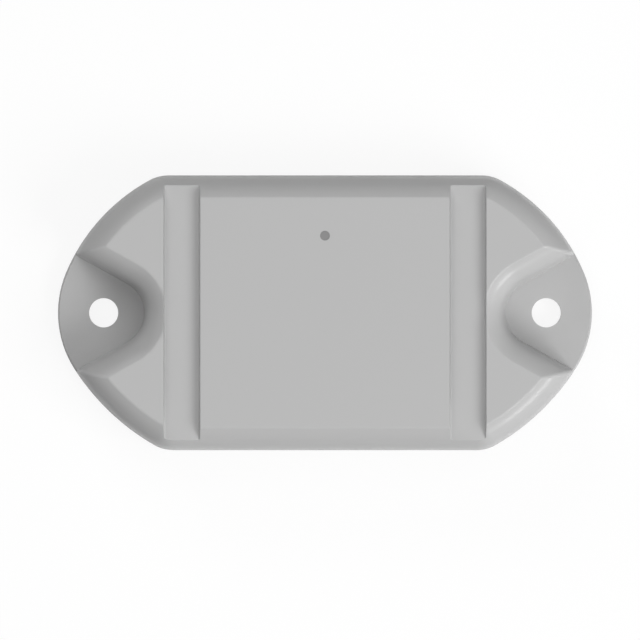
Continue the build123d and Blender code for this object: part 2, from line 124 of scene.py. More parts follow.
class SealSettings(bpy.types.PropertyGroup):
    """The rubber ring and the foam pad."""

    rubber: colour("Rubber", "Colour of the perimeter seal", (0.03, 0.03, 0.032))
    foam: colour("Foam", "Colour of the pad under the battery", (0.055, 0.055, 0.06))
    pore: size("Pore Size", "Width of one pore of the foam", 0.35 * MM)


class ScrewSettings(bpy.types.PropertyGroup):
    """The screws of the cover and of the circuit board."""

    zinc: colour("Zinc", "Colour of the zinc plating", (0.46, 0.46, 0.45))
    tint: colour("Passivation", "Colour that the plating drifts to", (0.38, 0.42, 0.48))
    cover_thread: size("Cover Thread", "Outer diameter of the thread of a cover screw", 3.0 * MM)
    cover_pitch: size("Cover Pitch", "Pitch of the thread of a cover screw", 1.34 * MM)
    board_thread: size("Board Thread", "Outer diameter of the thread of a board screw", 2.0 * MM)
    board_pitch: size("Board Pitch", "Pitch of the thread of a board screw", 0.91 * MM)


class BatterySettings(bpy.types.PropertyGroup):
    """The coin cell, its holder and its contacts."""

    nickel: colour("Nickel", "Colour of the plated can and cap", (0.50, 0.49, 0.46))
    gasket: colour("Gasket", "Colour of the insulating ring between can and cap", (0.035, 0.04, 0.05))
    nylon: colour("Nylon", "Colour of the holder", (0.025, 0.025, 0.025))
    gold: colour("Gold", "Colour of the plated contacts", (0.83, 0.62, 0.32))


class BoardSettings(bpy.types.PropertyGroup):
    """The circuit board, its tracks and its solder."""

    mask: colour("Solder Mask", "Colour of the board's faces", (0.010, 0.105, 0.045))
    covered: colour("Covered Copper", "Colour of the tracks under the solder mask", (0.022, 0.185, 0.07))
    glass: colour("Glass Fibre", "Colour of the board's sawn edge", (0.50, 0.52, 0.26))
    solder: colour("Solder", "Colour of the solder and the tinned pads", (0.56, 0.55, 0.53))
    track_width: size("Track Width", "Width of one copper track", 0.2 * MM)
    track_height: size("Track Height", "How far a track stands above the board", 0.02 * MM)


class PartsSettings(bpy.types.PropertyGroup):
    """The parts on the circuit board."""

    epoxy: colour("Epoxy", "Colour of the moulded chips", (0.02, 0.02, 0.021))
    lid: colour("Lid", "Colour of the metal lid of a crystal", (0.56, 0.53, 0.45))
    pale_ceramic: colour("Pale Ceramic", "Colour of the antenna and the crystals' bases", (0.66, 0.69, 0.62))
    tan_ceramic: colour("Tan Ceramic", "Colour of the small capacitors", (0.40, 0.28, 0.17))
    film: colour("Film", "Colour of the resistors' coating", (0.018, 0.018, 0.022))
    ochre: colour("Ochre", "Colour of the storage capacitor", (0.72, 0.46, 0.10))
    lens: colour("Lens", "Colour of the light's clear lens", (0.80, 0.78, 0.62))


class ButtonSettings(bpy.types.PropertyGroup):
    """The service button under the circuit board."""

    body: colour("Body", "Colour of the moulded body", (0.03, 0.03, 0.03))
    dome: colour("Dome", "Colour of the snap dome", (0.66, 0.66, 0.64))
    stem: colour("Stem", "Colour of the plunger", (0.68, 0.68, 0.65))


class StudioSettings(bpy.types.PropertyGroup):
    """The camera, the lamps and the floor."""

    view_span: size("View Span", "Width that the camera sees", 98.16 * MM)
    view_x: size("View X", "Where the camera looks, along the tag", -0.76 * MM)
    view_y: size("View Y", "Where the camera looks, across the tag", -1.11 * MM)
    lens: FloatProperty(name="Lens", description="Focal length", default=1500.0, min=1.0, unit="CAMERA")
    key_power: power("Key Lamp", "Power of the main lamp", 5.8)
    low_power: power("Low Lamp", "Power of the wide lamp that glances over the shoulders", 1.65)
    streak_power: power("Streak Lamp", "Power of the long narrow lamp that draws the bright streaks", 1.95)
    top_power: power("Top Lamp", "Power of the wide lamp overhead", 5.5)
    rear_power: power("Rear Lamp", "Power of the lamp behind the rear edge", 2.45)
    left_power: power("Left Lamp", "Power of the weak lamp at the left", 0.4)
    rim_power: power("Rim Lamp", "Power of the small lamp low behind the rear edge", 0.45)
    ambient: share("Ambient", "Strength of the light from all round", 0.0)
    floor: colour("Floor", "Colour of the floor where only its bounced light shows", (0.4, 0.4, 0.4))
    floor_glow: share("Floor Glow", "How much of the floor's white doesn't take a shadow", 0.88)


# Shader nodes


def feed(tree, socket, value):
    """Links a value that is a socket, and sets any other."""
    if isinstance(value, bpy.types.NodeSocket):
        tree.links.new(value, socket)
    else:
        socket.default_value = value


def spaced(values):
    """The same values under socket names, with spaces for underscores."""
    return {name.replace("_", " "): value for name, value in values.items()}


def new_node(tree, kind, inputs=None, **options):
    """A node with its options set, and its inputs set or linked."""
    node = tree.nodes.new(kind)
    for name, value in options.items():
        setattr(node, name, value)
    for name, value in (inputs or {}).items():
        feed(tree, node.inputs[name], value)
    return node


def new_group(name, inputs, *outputs):
    """An empty node group with its sockets, and its input and output nodes."""
    group = bpy.data.node_groups.new(name, "ShaderNodeTree")
    kinds = {1: "NodeSocketFloat", 3: "NodeSocketVector", 4: "NodeSocketColor"}
    for socket, value in inputs.items():
        kind = kinds[len(value) if isinstance(value, tuple) else 1]
        group.interface.new_socket(name=socket, in_out="INPUT", socket_type=kind).default_value = value
    for socket in outputs:
        kind = kinds[4 if socket == "Color" else 1]
        group.interface.new_socket(name=socket, in_out="OUTPUT", socket_type=kind)
    return group, group.nodes.new("NodeGroupInput"), group.nodes.new("NodeGroupOutput")


def place_group(tree, name, make, **values):
    """A node group, made the first time it is asked for, placed in a material with its own values."""
    group = bpy.data.node_groups.get(name) or make()
    return new_node(tree, "ShaderNodeGroup", spaced(values), node_tree=group)


def math_node(tree, operation, *values, clamp=False):
    """A math node. Each of its inputs is a socket or a number."""
    inputs = dict(enumerate(values))
    return new_node(tree, "ShaderNodeMath", inputs, operation=operation, use_clamp=clamp).outputs[0]


def vector_node(tree, operation, *values, result=0):
    """A vector math node. Each of its inputs is a socket or a vector."""
    inputs = dict(enumerate(values))
    return new_node(tree, "ShaderNodeVectorMath", inputs, operation=operation).outputs[result]


def scaled(tree, vector, factor):
    """A vector or a colour times a number."""
    inputs = {0: vector, "Scale": factor}
    return new_node(tree, "ShaderNodeVectorMath", inputs, operation="SCALE").outputs[0]


def in_millimetres(tree):
    """The object's own coordinates, in millimetres."""
    return scaled(tree, new_node(tree, "ShaderNodeTexCoord").outputs["Object"], 1.0 / MM)


def split_axes(tree, place=None):
    """The X, Y and Z of a place, or of the object's own coordinates in millimetres."""
    place = in_millimetres(tree) if place is None else place
    return tuple(new_node(tree, "ShaderNodeSeparateXYZ", {0: place}).outputs)


def noise(tree, place, **values):
    """A noise from 0 to 1."""
    return new_node(tree, "ShaderNodeTexNoise", {"Vector": place, **values}).outputs["Fac"]


def between(tree, value, low, high):
    """1 where a value lies between two limits, and 0 elsewhere."""
    over = math_node(tree, "GREATER_THAN", value, low)
    return math_node(tree, "MULTIPLY", over, math_node(tree, "LESS_THAN", value, high))


def as_colour(value):
    """A colour with its alpha, or a socket as it is."""
    return value if isinstance(value, bpy.types.NodeSocket) else (*value[:3], 1.0)


def times(tint, factor):
    """A colour made lighter or darker."""
    return tuple(factor * value for value in tint)


def mix_node(tree, mask, off, on, kind="RGBA"):
    """Goes from off to on with a mask. Each is a socket, a number or a colour."""
    first, second, result = (2, 3, 0)
    if kind == "RGBA":
        first, second, result = (6, 7, 2)
        off, on = as_colour(off), as_colour(on)
    inputs = {0: mask, first: off, second: on}
    return new_node(tree, "ShaderNodeMix", inputs, data_type=kind).outputs[result]


def spread_value(tree, mask, low, high):
    """A mask from 0 to 1 turned into a value from low to high."""
    inputs = {"Value": mask, "To Min": low, "To Max": high}
    return new_node(tree, "ShaderNodeMapRange", inputs).outputs["Result"]


def grain_group():
    """The skin of a moulded or cast surface: a height, and a mask of its finer spots."""
    inputs = {"Grain Size mm": 0.12, "Soft Drift": 0.3}
    tree, start, end = new_group("Moulded Grain", inputs, "Height", "Mask")
    place = in_millimetres(tree)
    scale = math_node(tree, "DIVIDE", 1.0, start.outputs["Grain Size mm"])
    fine = noise(tree, place, Scale=scale, Detail=3.0, Roughness=0.6)
    slow = noise(tree, place, Scale=0.09, Detail=2.0)
    drift = math_node(tree, "MULTIPLY", slow, start.outputs["Soft Drift"])
    kept = math_node(tree, "SUBTRACT", 1.0, start.outputs["Soft Drift"])
    spots = math_node(tree, "MULTIPLY", fine, kept)
    tree.links.new(fine, end.inputs["Height"])
    tree.links.new(math_node(tree, "ADD", drift, spots), end.inputs["Mask"])
    return tree


def tone_group():
    """A colour that drifts a little lighter and darker with a mask."""
    inputs = {"Color": (0.5, 0.5, 0.5, 1.0), "Mask": 0.5, "Amount": 0.05}
    tree, start, end = new_group("Tone Drift", inputs, "Color")
    centred = math_node(tree, "SUBTRACT", start.outputs["Mask"], 0.5)
    swing = math_node(tree, "MULTIPLY_ADD", centred, start.outputs["Amount"], 1.0)
    tree.links.new(scaled(tree, start.outputs["Color"], swing), end.inputs["Color"])
    return tree


def box_mask_group():
    """1 inside a box given by its centre and its half sides in millimetres, and 0 outside."""
    inputs = {"Centre": (0.0, 0.0, 0.0), "Half": (1.0, 1.0, 1.0)}
    tree, start, end = new_group("Box Mask", inputs, "Mask")
    away = vector_node(tree, "SUBTRACT", in_millimetres(tree), start.outputs["Centre"])
    reach = split_axes(tree, vector_node(tree, "ABSOLUTE", away))
    half = split_axes(tree, start.outputs["Half"])
    inside = [math_node(tree, "LESS_THAN", far, limit) for far, limit in zip(reach, half)]
    flat = math_node(tree, "MULTIPLY", inside[0], inside[1])
    tree.links.new(math_node(tree, "MULTIPLY", flat, inside[2]), end.inputs["Mask"])
    return tree


def turned_group():
    """The fine rings of a lathe or a polishing wheel round a centre, the same in all four quarters."""
    inputs = {"Centre": (0.0, 0.0, 0.0), "Ring Width mm": 0.06}
    tree, start, end = new_group("Turned Rings", inputs, "Height", "Radius")
    width = start.outputs["Ring Width mm"]
    mirrored = vector_node(tree, "ABSOLUTE", in_millimetres(tree))
    away = vector_node(tree, "SUBTRACT", mirrored, start.outputs["Centre"])
    flat = vector_node(tree, "MULTIPLY", away, (1.0, 1.0, 0.0))
    radius = vector_node(tree, "LENGTH", flat, result="Value")
    height = split_axes(tree, away)[2]
    spots = {0: math_node(tree, "DIVIDE", radius, width), 1: math_node(tree, "DIVIDE", height, width)}
    along = new_node(tree, "ShaderNodeCombineXYZ", spots).outputs[0]
    rings = noise(tree, along, Scale=1.0, Detail=2.0, Roughness=0.7)
    tree.links.new(rings, end.inputs["Height"])
    tree.links.new(radius, end.inputs["Radius"])
    return tree


def brushed_group():
    """The fine straight marks of rolled or brushed sheet, along X, Y or Z."""
    tree, start, end = new_group("Brushed Marks", {"Stretch": (0.4, 14.0, 14.0)}, "Height")
    longer = vector_node(tree, "MULTIPLY", in_millimetres(tree), start.outputs["Stretch"])
    marks = noise(tree, longer, Scale=1.0, Detail=4.0, Roughness=0.65)
    tree.links.new(marks, end.inputs["Height"])
    return tree


# Materials


def empty_material(name):
    """A material without nodes, and its tree."""
    material = bpy.data.materials.new(name)
    material.use_nodes = True
    material.node_tree.nodes.clear()
    return material, material.node_tree


def plain_material(name, **values):
    """A material with one Principled shader and the values that are the same all over it."""
    material, tree = empty_material(name)
    shader = new_node(tree, "ShaderNodeBsdfPrincipled", spaced(values))
    new_node(tree, "ShaderNodeOutputMaterial", {"Surface": shader.outputs["BSDF"]})
    return material, tree, shader


def link_finish(tree, shader, tint, rough, height, depth, metal=None):
    """Links what a finish worked out to its shader."""
    bump = new_node(tree, "ShaderNodeBump", {"Height": height, "Strength": 1.0, "Distance": depth})
    finish = {"Base Color": tint, "Roughness": rough, "Metallic": metal, "Normal": bump.outputs["Normal"]}
    for name, socket in finish.items():
        if socket is not None:
            tree.links.new(socket, shader.inputs[name])


def grain_and_tone(tree, grain_mm, tint, amount):
    """The mask and the height of a surface's grain, and its colour that drifts with it."""
    grain = place_group(tree, "Moulded Grain", grain_group, Grain_Size_mm=grain_mm)
    mask, height = grain.outputs["Mask"], grain.outputs["Height"]
    tone = place_group(tree, "Tone Drift", tone_group, Color=as_colour(tint), Mask=mask, Amount=amount)
    return mask, height, tone.outputs["Color"]


def grained_material(name, tint, grain_mm, depth, roughness, drift=0.05, spread=0.08, specular=0.5, **values):
    """A finish with a fine grain: its tone, its gloss and its height all vary with the grain."""
    material, tree, shader = plain_material(name, Specular_IOR_Level=specular, **values)
    mask, height, toned = grain_and_tone(tree, grain_mm, tint, drift)
    rough = spread_value(tree, mask, roughness - spread / 2, roughness + spread / 2)
    link_finish(tree, shader, toned, rough, height, depth)
    return material


def turned_material(name, tint, centre, ring_mm, depth, roughness, other):
    """Plated metal with turning marks round a centre, its colour drifting a little to another."""
    material, tree, shader = plain_material(name, Metallic=1.0)
    rings = place_group(tree, "Turned Rings", turned_group, Centre=centre, Ring_Width_mm=ring_mm)
    clouds = noise(tree, in_millimetres(tree), Scale=0.45, Detail=3.0)
    drifted = mix_node(tree, spread_value(tree, clouds, -0.4, 1.1), tint, other)
    mask, _, toned = grain_and_tone(tree, 0.2, drifted, 0.12)
    rough = math_node(tree, "MULTIPLY_ADD", mask, 0.12, roughness - 0.06)
    link_finish(tree, shader, toned, rough, rings.outputs["Height"], depth)
    return material


def brushed_material(name, tint, stretch, depth, roughness):
    """Plated sheet metal with straight rolling marks."""
    material, tree, shader = plain_material(name, Metallic=1.0)
    marks = place_group(tree, "Brushed Marks", brushed_group, Stretch=stretch).outputs["Height"]
    _, _, toned = grain_and_tone(tree, 0.6, tint, 0.14)
    rough = spread_value(tree, marks, roughness - 0.08, roughness + 0.10)
    link_finish(tree, shader, toned, rough, marks, depth)
    return material


def ended_material(name, body, ends, body_boxes, grain_mm=0.08, roughness=0.45):
    """A part whose body lies in the boxes, and whose tinned ends lie outside them.

    Each box is a centre and half sides in millimetres. The body is a colour, or makes one in the tree.
    """
    material, tree, shader = plain_material(name)
    mask = None
    for centre, half in body_boxes:
        box = place_group(tree, "Box Mask", box_mask_group, Centre=centre, Half=half).outputs["Mask"]
        mask = box if mask is None else math_node(tree, "MAXIMUM", mask, box)
    tint = mix_node(tree, mask, ends, body(tree) if callable(body) else body)
    spots, height, toned = grain_and_tone(tree, grain_mm, tint, 0.12)
    level = math_node(tree, "SUBTRACT", mix_node(tree, mask, 0.28, roughness, "FLOAT"), 0.05)
    rough = math_node(tree, "MULTIPLY_ADD", spots, 0.1, level)
    metal = math_node(tree, "SUBTRACT", 1.0, mask)
    link_finish(tree, shader, toned, rough, height, 0.004 * MM, metal)
    return material


def solder_material(s):
    """Tin that has flowed: bright, slightly wavy and a little dull in places. It is made once."""
    return bpy.data.materials.get("Solder") or grained_material(
        "Solder", s.solder, 0.25, 0.006 * MM, 0.28, drift=0.2, spread=0.16, Metallic=1.0
    )


def finish_node(node, material):
    """Gives a CAD node its finish."""
    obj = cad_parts[node]
    if not obj.material_slots:
        raise RuntimeError(f"{node} has no material slot")
    for slot in obj.material_slots:
        slot.material = material


# Modelling


def activate(obj):
    """Makes an object the only one selected."""
    bpy.ops.object.select_all(action="DESELECT")
    obj.select_set(True)
    bpy.context.view_layer.objects.active = obj


def edit(obj):
    """Goes into an object's edit mode with everything selected."""
    activate(obj)
    bpy.ops.object.mode_set(mode="EDIT")
    bpy.ops.mesh.select_all(action="SELECT")


def leave_edit():
    """Points the faces outward and leaves edit mode."""
    bpy.ops.mesh.select_all(action="SELECT")
    bpy.ops.mesh.normals_make_consistent(inside=False)
    bpy.ops.object.mode_set(mode="OBJECT")


def pick(test):
    """Selects the vertices that pass a test of their place in millimetres and their number."""
    mesh = bpy.context.object.data
    shape = bmesh.from_edit_mesh(mesh)
    for number, vert in enumerate(shape.verts):
        vert.select = bool(test(vert.co / MM, number))
    shape.select_flush_mode()
    bmesh.update_edit_mesh(mesh)


def resize(factors, centre_mm):
    """Scales what is selected about a point."""
    centre = tuple(value * MM for value in centre_mm)
    bpy.ops.transform.resize(value=factors, center_override=centre)


def apply_place(obj):
    """Puts an object's place, turn and scale into its mesh."""
    activate(obj)
    bpy.ops.object.transform_apply(location=True, rotation=True, scale=True)


def apply_modifier(obj, kind, **options):
    """Adds a modifier, sets it and applies it."""
    activate(obj)
    modifier = obj.modifiers.new(kind.title(), kind)
    for name, value in options.items():
        setattr(modifier, name, value)
    bpy.ops.object.modifier_apply(modifier=modifier.name)


def join(objects, name):
    """Joins objects into the first, under a new name."""
    bpy.ops.object.select_all(action="DESELECT")
    for obj in objects:
        obj.select_set(True)
    bpy.context.view_layer.objects.active = objects[0]
    if len(objects) > 1:
        bpy.ops.object.join()
    objects[0].name = name
    return objects[0]


def copy_to(obj, place_mm, turn=0.0):
    """A copy with its own mesh, turned about Z and moved by a distance in millimetres."""
    activate(obj)
    bpy.ops.object.duplicate(linked=False)
    made = bpy.context.object
    made.rotation_euler = (0.0, 0.0, math.radians(turn))
    made.location = tuple(value * MM for value in place_mm)
    apply_place(made)
    return made


def copy_all(obj, places_mm):
    """Copies of an object at places in millimetres, each an X, a Y and maybe a turn. The object goes."""
    made = [copy_to(obj, (x, y, 0.0), *turn) for x, y, *turn in places_mm]
    bpy.data.objects.remove(obj)
    return made


def smooth(obj, angle=35.0):
    """Smooth shading up to an angle."""
    activate(obj)
    bpy.ops.object.shade_smooth_by_angle(angle=math.radians(angle))


def finish_piece(obj, material, slot, *nodes):
    """Gives a new piece its finish, its body and the CAD nodes that it stands for."""
    obj.data.materials.clear()
    obj.data.materials.append(material)
    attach(obj, "housing")
    if nodes:
        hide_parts(*nodes)


def lathe(name, levels, sides=40):
    """A round body on the Z axis, extruded and scaled from level to level, each a height and a radius."""
    bpy.ops.mesh.primitive_circle_add(vertices=sides, radius=levels[0][1] * MM, fill_type="NGON")
    obj = bpy.context.object
    obj.name = name
    edit(obj)
    bpy.ops.transform.translate(value=(0.0, 0.0, levels[0][0] * MM))
    for (low, before), (high, after) in zip(levels, levels[1:]):
        step = (0.0, 0.0, (high - low) * MM)
        bpy.ops.mesh.extrude_region_move(TRANSFORM_OT_translate={"value": step})
        resize((after / before, after / before, 1.0), (0.0, 0.0, high))
    leave_edit()
    return obj


def thread(name, core, outer, pitch, low, turns, steps=24, fade=10):
    """One helical tooth on the Z axis that rises out of the core and runs back into it."""
    root = core - 0.08
    tall, wide = outer - root, 0.62 * pitch
    bpy.ops.mesh.primitive_circle_add(vertices=3, radius=1.0, fill_type="NOTHING")
    obj = bpy.context.object
    obj.name = name
    obj.rotation_euler = (math.pi / 2, math.pi / 2, 0.0)
    obj.scale = (wide / math.sqrt(3) * MM, tall / 1.5 * MM, MM)
    obj.location = ((root + tall / 3) * MM, 0.0, low * MM)
    apply_place(obj)
    apply_modifier(
        obj, "SCREW", angle=2 * math.pi, screw_offset=pitch * MM, iterations=turns,
        steps=steps, render_steps=steps, use_normal_calculate=True,
    )
    edit(obj)
    last = steps * turns
    for step in range(fade):
        for ring in (step, last - step):
            spots = [vert.co / MM for vert in bmesh.from_edit_mesh(obj.data).verts][3 * ring:3 * ring + 3]
            base = sorted(spots, key=lambda spot: spot.xy.length)[:2]
            factor = (step + 0.5) / fade
            pick(lambda spot, number, ring=ring: number // 3 == ring)
            resize((factor, factor, factor), (base[0] + base[1]) / 2)
    bpy.ops.mesh.select_all(action="SELECT")
    bpy.ops.mesh.fill_holes(sides=4)
    leave_edit()
    return obj


def cut_cross(obj, level, span, wide, deep, taper):
    """Sinks a tapered cross recess upward into a screw head from a level."""
    for turn in (0.0, math.pi / 2):
        bpy.ops.mesh.primitive_cube_add(size=1.0)
        bar = bpy.context.object
        bar.scale = (span * MM, wide * MM, (deep + 0.4) * MM)
        bar.location = (0.0, 0.0, (level + (deep - 0.4) / 2) * MM)
        apply_place(bar)
        edit(bar)
        bpy.ops.mesh.subdivide(number_cuts=1)
        pick(lambda spot, number: spot.z > level + deep - 0.01)
        resize((taper, 0.7, 1.0), (0.0, 0.0, level + deep))
        leave_edit()
        bar.rotation_euler = (0.0, 0.0, turn)
        apply_place(bar)
        apply_modifier(obj, "BOOLEAN", operation="DIFFERENCE", solver="EXACT", object=bar)
        bpy.data.objects.remove(bar)


def block(name, size_mm, place_mm, bevel_mm, taper=(1.0, 1.0), side=-1):
    """A small bevelled block whose upper (1) or lower (-1) face is scaled by two factors."""
    bpy.ops.mesh.primitive_cube_add(size=1.0)
    obj = bpy.context.object
    obj.name = name
    obj.scale = tuple(value * MM for value in size_mm)
    obj.location = tuple(value * MM for value in place_mm)
    apply_place(obj)
    edit(obj)
    pick(lambda spot, number: (spot.z - place_mm[2]) * side > 0)
    resize((*taper, 1.0), place_mm)
    bpy.ops.mesh.select_all(action="SELECT")
    bpy.ops.mesh.bevel(offset=bevel_mm * MM, segments=2, affect="EDGES")
    leave_edit()
    return obj


def four_corners(x, y):
    """The four places at plus and minus x and y."""
    return [(sign_x * x, sign_y * y) for sign_x in (-1, 1) for sign_y in (-1, 1)]


# Pieces


class BEACON_OT_housing(bpy.types.Operator):
    """Finish the cover and the base plate in pale moulded plastic"""

    bl_idname = "beacon_tag.housing"
    bl_label = "Housing"

    def execute(self, context):
        s = context.scene.beacon_housing
        plastic = grained_material(
            "Pale moulded plastic", s.plastic, s.grain_size / MM, s.grain_depth, s.roughness,
            drift=0.03, specular=s.specular, Coat_Weight=s.sheen, Coat_Roughness=s.sheen_roughness,
        )
        finish_node("top_cover", plastic)
        finish_node("base_plate", plastic)
        return {"FINISHED"}


class BEACON_OT_light_pipe(bpy.types.Operator):
    """Finish the light pipe in smoked clear plastic"""

    bl_idname = "beacon_tag.light_pipe"
    bl_label = "Light Pipe"

    def execute(self, context):
        s = context.scene.beacon_light_pipe
        smoked = grained_material("Smoked light pipe", s.smoke, 0.3, 0.001 * MM, s.roughness, drift=0.1)
        finish_node("light_pipe", smoked)
        return {"FINISHED"}


class BEACON_OT_seals(bpy.types.Operator):
    """Finish the perimeter seal and the foam pad"""

    bl_idname = "beacon_tag.seals"
    bl_label = "Seal and Foam"

    def execute(self, context):
        s = context.scene.beacon_seals
        rubber = grained_material("Seal rubber", s.rubber, 0.16, 0.005 * MM, 0.62, drift=0.25, specular=0.35)
        finish_node("perimeter_seal", rubber)
        finish_node("battery_foam_pad", self.foam(s))
        return {"FINISHED"}

    def foam(self, s):
        """Closed-cell foam: round pores of uneven depth with thin walls between them. Its colour holds
        painted shade: darker down in the pores and painted lighter on the walls.
        """
        material, tree, shader = plain_material("Pored foam")
        place = in_millimetres(tree)
        cells = {"Vector": place, "Scale": MM / s.pore, "Randomness": 0.9}
        pores = new_node(tree, "ShaderNodeTexVoronoi", cells)
        uneven = noise(tree, place, Scale=2.2, Detail=1.0)
        bowl = math_node(tree, "POWER", pores.outputs["Distance"], 0.8, clamp=True)
        wall = math_node(tree, "MULTIPLY_ADD", uneven, 0.35, bowl)
        # Painted shade: the foam's colour darkens into each pore and is painted lighter on the walls between
        # them, as light and shade would fall.
        painted_light_mask = math_node(tree, "MULTIPLY", wall, 0.8, clamp=True)
        painted_shade_tint = mix_node(tree, painted_light_mask, s.foam, times(s.foam, 1.9))
        link_finish(tree, shader, painted_shade_tint, spread_value(tree, wall, 0.97, 0.82), wall, 0.09 * MM)
        return material


def place_screws(body, tooth, name, corner, turns, material):
    """Joins a screw on the Z axis with its thread, and copies it to the four corners.

    The copies stand for the CAD node that holds all four.
    """
    screw = join([body, tooth], body.name)
    smooth(screw)
    places = [(*place, turn) for place, turn in zip(four_corners(*corner), turns)]
    for number, made in enumerate(copy_all(screw, places), 1):
        made.name = f"{name}_{number}"
        finish_piece(made, material, "screw_steel", f"{name}s")


class BEACON_OT_cover_screws(bpy.types.Operator):
    """Model the four countersunk screws of the cover, with their threads and cross recesses"""

    bl_idname = "beacon_tag.cover_screws"
    bl_label = "Cover Screws"

    turns = (12.0, 58.0, 31.0, 77.0)
    core = 1.15
    profile = [
        (0.25, 2.42), (0.28, 2.58), (0.35, 2.63), (0.42, 2.56), (1.78, 1.21), (1.95, core),
        (9.2, core), (9.85, 0.95), (10.15, 0.7), (10.25, 0.4),
    ]

    def execute(self, context):
        s = context.scene.beacon_screws
        body = lathe("cover screw", self.profile)
        cut_cross(body, 0.25, 3.0, 0.8, 1.1, 0.5)
        tooth = thread("cover screw thread", self.core, s.cover_thread / MM / 2, s.cover_pitch / MM, 2.6, 5)
        zinc = turned_material(
            "Zinc plated cover screw", s.zinc, (*COVER_SCREWS, 0.0), 0.05, 0.004 * MM, 0.36, s.tint
        )
        place_screws(body, tooth, "cover_screw", COVER_SCREWS, self.turns, zinc)
        return {"FINISHED"}


class BEACON_OT_board_screws(bpy.types.Operator):
    """Model the four pan-head screws of the circuit board"""

    bl_idname = "beacon_tag.board_screws"
    bl_label = "Board Screws"

    turns = (40.0, 5.0, 66.0, 23.0)
    core = 0.78
    rim_level, rim_radius, rounding = 10.95, 1.25, 0.65
    shank = [(BOARD_UNDER, 1.9), (BOARD_UNDER, core), (15.0, core), (15.4, 0.6), (15.6, 0.35)]

    def execute(self, context):
        s = context.scene.beacon_screws
        head = []
        for degrees in range(0, 91, 18):
            angle = math.radians(degrees)
            level = self.rim_level - self.rounding * math.cos(angle)
            head.append((level, self.rim_radius + self.rounding * math.sin(angle)))
        body = lathe("board screw", head + self.shank)
        cut_cross(body, 10.3, 1.9, 0.5, 0.65, 0.5)
        tooth = thread("board screw thread", self.core, s.board_thread / MM / 2, s.board_pitch / MM, 12.2, 3)
        zinc = turned_material(
            "Zinc plated board screw", s.zinc, (*BOARD_SCREWS, 0.0), 0.04, 0.003 * MM, 0.36, s.tint
        )
        place_screws(body, tooth, "board_screw", BOARD_SCREWS, self.turns, zinc)
        return {"FINISHED"}


class BEACON_OT_battery(bpy.types.Operator):
    """Finish the coin cell, its holder and its two contacts"""

    bl_idname = "beacon_tag.battery"
    bl_label = "Battery"

    can_lip = 10.35
    gasket_radii = (10.32, 10.85)

    def execute(self, context):
        s = context.scene.beacon_battery
        finish_node("battery_cell", self.cell(s))
        nylon = grained_material("Holder nylon", s.nylon, 0.14, 0.004 * MM, 0.45, drift=0.2, specular=0.4)
        finish_node("battery_holder", nylon)
        for node, name, stretch in (
            ("battery_positive_contact", "Gold plated spring", (14.0, 14.0, 0.5)),
            ("battery_negative_contact", "Gold plated strip", (0.5, 14.0, 14.0)),
        ):
            finish_node(node, brushed_material(name, s.gold, stretch, 0.002 * MM, 0.24))
        return {"FINISHED"}

    def cell(self, s):
        """Turned nickel, with the insulating gasket between the can's lip and the cap."""
        material, tree, shader = plain_material("Nickel plated cell")
        rings = place_group(tree, "Turned Rings", turned_group, Ring_Width_mm=0.09)
        above = math_node(tree, "GREATER_THAN", split_axes(tree)[2], self.can_lip)
        ring = between(tree, rings.outputs["Radius"], *self.gasket_radii)
        gasket = math_node(tree, "MULTIPLY", above, ring)
        mask, _, toned = grain_and_tone(tree, 0.35, s.nickel, 0.12)
        tint = mix_node(tree, gasket, toned, s.gasket)
        rough = math_node(tree, "MULTIPLY_ADD", mask, 0.16, 0.16)
        rough = mix_node(tree, gasket, rough, 0.5, "FLOAT")
        metal = math_node(tree, "SUBTRACT", 1.0, gasket)
        link_finish(tree, shader, tint, rough, rings.outputs["Height"], 0.003 * MM, metal)
        return material


